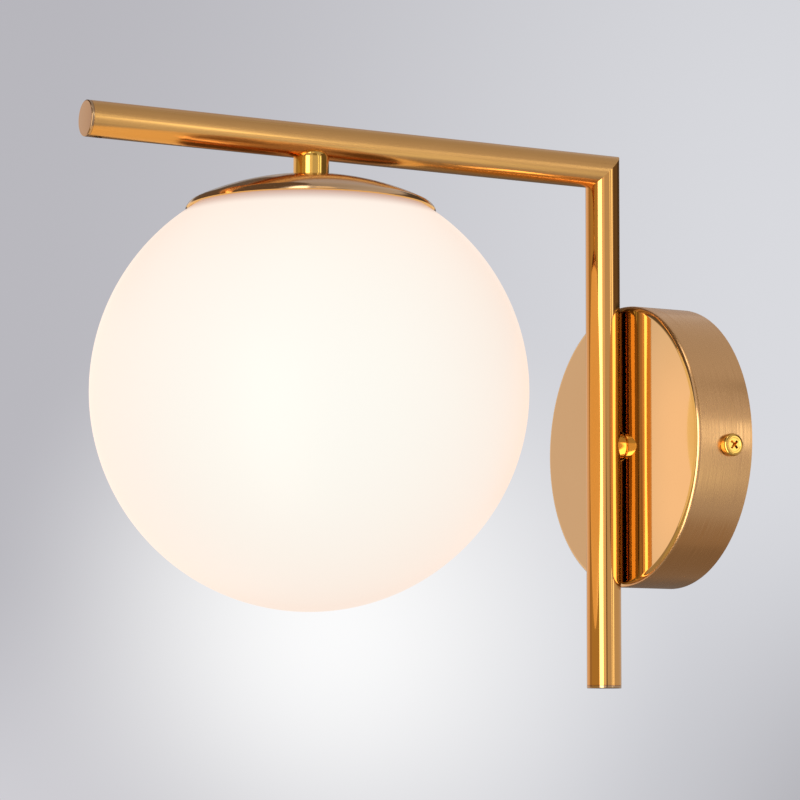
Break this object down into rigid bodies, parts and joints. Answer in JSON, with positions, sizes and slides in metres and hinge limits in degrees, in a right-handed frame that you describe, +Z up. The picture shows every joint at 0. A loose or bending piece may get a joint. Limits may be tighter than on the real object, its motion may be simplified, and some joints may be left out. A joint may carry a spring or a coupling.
{
  "type": "globe wall sconce",
  "caption": "Wall sconce: a mitred brass tube arm on a round wall canopy, with an opal glass globe hung under a domed brass cap.",
  "frame": {"origin": "middle of the wall bracket's back face, on the wall plane, level with the stem", "axes": "+Z up, +Y into the wall, -Y out into the room along the arm, +X to the right seen from the room facing the wall"},
  "size_m": [0.15, 0.2306, 0.1926],
  "materials": {
    "brass_satin": "satin brushed and lacquered",
    "brass_polished": "polished and lacquered",
    "steel_zinc": "bright zinc plated",
    "steel_black": "black oxide",
    "aluminium_ring": "pressed, plain",
    "rubber_black": "moulded",
    "nylon_white": "moulded nylon",
    "silicone_clear": "translucent silicone",
    "glass_opal": "opal triplex glass, satin, lit from inside",
    "plastic_black": "moulded thermoset",
    "steatite": "unglazed steatite",
    "brass_plain": "plain stamped and drawn",
    "steel_bright": "tinned or nickel plated",
    "bulb_shell_nickel": "nickel plated",
    "bulb_glass_black": "black glass",
    "bulb_solder": "solder",
    "bulb_plastic_white": "moulded",
    "bulb_dome_opal": "opal polycarbonate, lit",
    "pvc_brown": "extruded sleeve",
    "pvc_blue": "extruded sleeve",
    "pvc_green_yellow": "extruded sleeve, striped"
  },
  "bodies": {
    "lamp": {"canopy_cup": "brass_satin", "upright_tube": "brass_satin", "arm_tube": "brass_satin", "neck_boss": "brass_satin", "stem_collar": "brass_satin", "arm_end_plug": "brass_satin", "upright_end_plug": "brass_satin", "shade_cap": "brass_polished", "canopy_side_screws": "brass_polished", "wall_bracket": "steel_zinc", "stem_stud": "steel_zinc", "stem_washer": "steel_zinc", "stem_nut": "steel_zinc", "head_nipple": "steel_zinc", "cap_nut": "steel_zinc", "gallery_spacer": "steel_zinc", "gallery_ring": "steel_zinc", "gallery_nut": "steel_zinc", "block_screws": "steel_zinc", "earth_washer": "steel_zinc", "earth_screw": "steel_zinc", "arm_plug_screw": "steel_black", "cable_grommet": "rubber_black", "stem_bush": "nylon_white", "terminal_block": "nylon_white", "holder_cap": "plastic_black", "holder_skirt": "plastic_black", "holder_insert": "steatite", "holder_terminals": "brass_plain", "holder_screw_shell": "brass_plain", "holder_centre_contact": "brass_plain", "terminal_clamps": "brass_plain", "holder_terminal_screws": "steel_bright", "terminal_screws": "steel_bright", "earth_ring": "steel_bright", "wire_live": "pvc_brown", "wire_neutral": "pvc_blue", "wire_earth": "pvc_green_yellow"},
    "globe": {"glass_globe": "glass_opal", "collar_bond": "silicone_clear", "globe_collar": "aluminium_ring"},
    "bulb": {"bulb_dome": "bulb_dome_opal", "bulb_body": "bulb_plastic_white", "bulb_screw_shell": "bulb_shell_nickel", "bulb_tip_insulator": "bulb_glass_black", "bulb_tip_contact": "bulb_solder"}
  },
  "joints": [
    {"name": "globe_turn", "type": "hinge", "parent": "lamp", "child": "globe", "pos_m": [0, -0.1471, 0.0129], "axis": [0, 0, 1], "range_deg": [0, 25]},
    {"name": "bulb_turn", "type": "hinge", "parent": "lamp", "child": "bulb", "pos_m": [0, -0.1471, 0.0129], "axis": [0, 0, -1], "range_deg": [0, 1800]}
  ]
}
